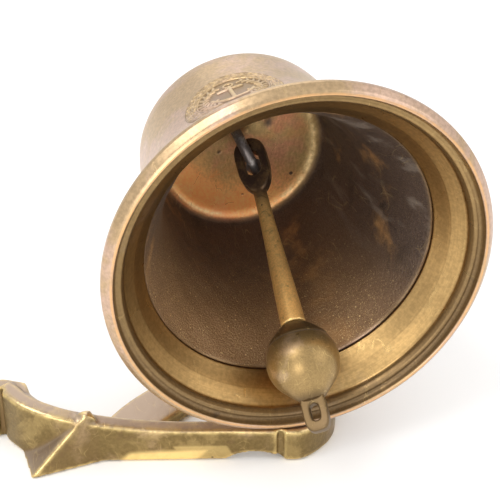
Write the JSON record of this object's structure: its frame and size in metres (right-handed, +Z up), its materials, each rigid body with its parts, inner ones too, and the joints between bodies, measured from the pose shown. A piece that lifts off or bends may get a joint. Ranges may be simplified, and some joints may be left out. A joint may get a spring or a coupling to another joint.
{
  "type": "ship bell",
  "caption": "Cast brass ship bell with a flared lip, inner clapper on a wire staple and a crescent wall bracket whose forked arm carries the crown.",
  "frame": {"origin": "On the wall side of the bracket, under the middle of its round foot.", "axes": "-Z points into the wall; -Y is down in use and is the side the mouth faces as stored; +Z is up as stored, lying on a table."},
  "size_m": [0.269, 0.2359, 0.221],
  "materials": {
    "bell_brass": "worn cast and turned brass with brown patina inside",
    "clapper_brass": "olive worn brass, dark at the eye",
    "bracket_brass": "worn cast brass with bright rubbed patches",
    "bush_bronze": "plain turned bronze",
    "dark_steel": "dark oxidised steel"
  },
  "bodies": {
    "bracket": {"bracket_casting": "bracket_brass", "hanger_arm": "bracket_brass", "foot_screw_1": "dark_steel", "foot_screw_2": "dark_steel", "foot_screw_3": "dark_steel", "swing_pin": "dark_steel", "pin_washer_upper": "dark_steel", "pin_washer_lower": "dark_steel", "pin_nut": "dark_steel"},
    "bell": {"bell_shell": "bell_brass", "crown_hanger": "bell_brass", "crown_staple": "dark_steel", "staple_washer_lower": "dark_steel", "staple_washer_upper": "dark_steel", "staple_nut_lower": "dark_steel", "staple_nut_upper": "dark_steel", "pin_bush": "bush_bronze"},
    "clapper": {"clapper_stem": "clapper_brass", "clapper_ball": "clapper_brass"}
  },
  "joints": [
    {"name": "bell_swing", "type": "hinge", "parent": "bracket", "child": "bell", "pos_m": [0, -0.006, 0.121], "axis": [0, 0, 1], "range_deg": [-18, 18]},
    {"name": "clapper_swing", "type": "hinge", "parent": "bell", "child": "clapper", "pos_m": [0.0025, -0.066, 0.121], "axis": [1, 0, 0], "range_deg": [-60.5, 0]}
  ]
}
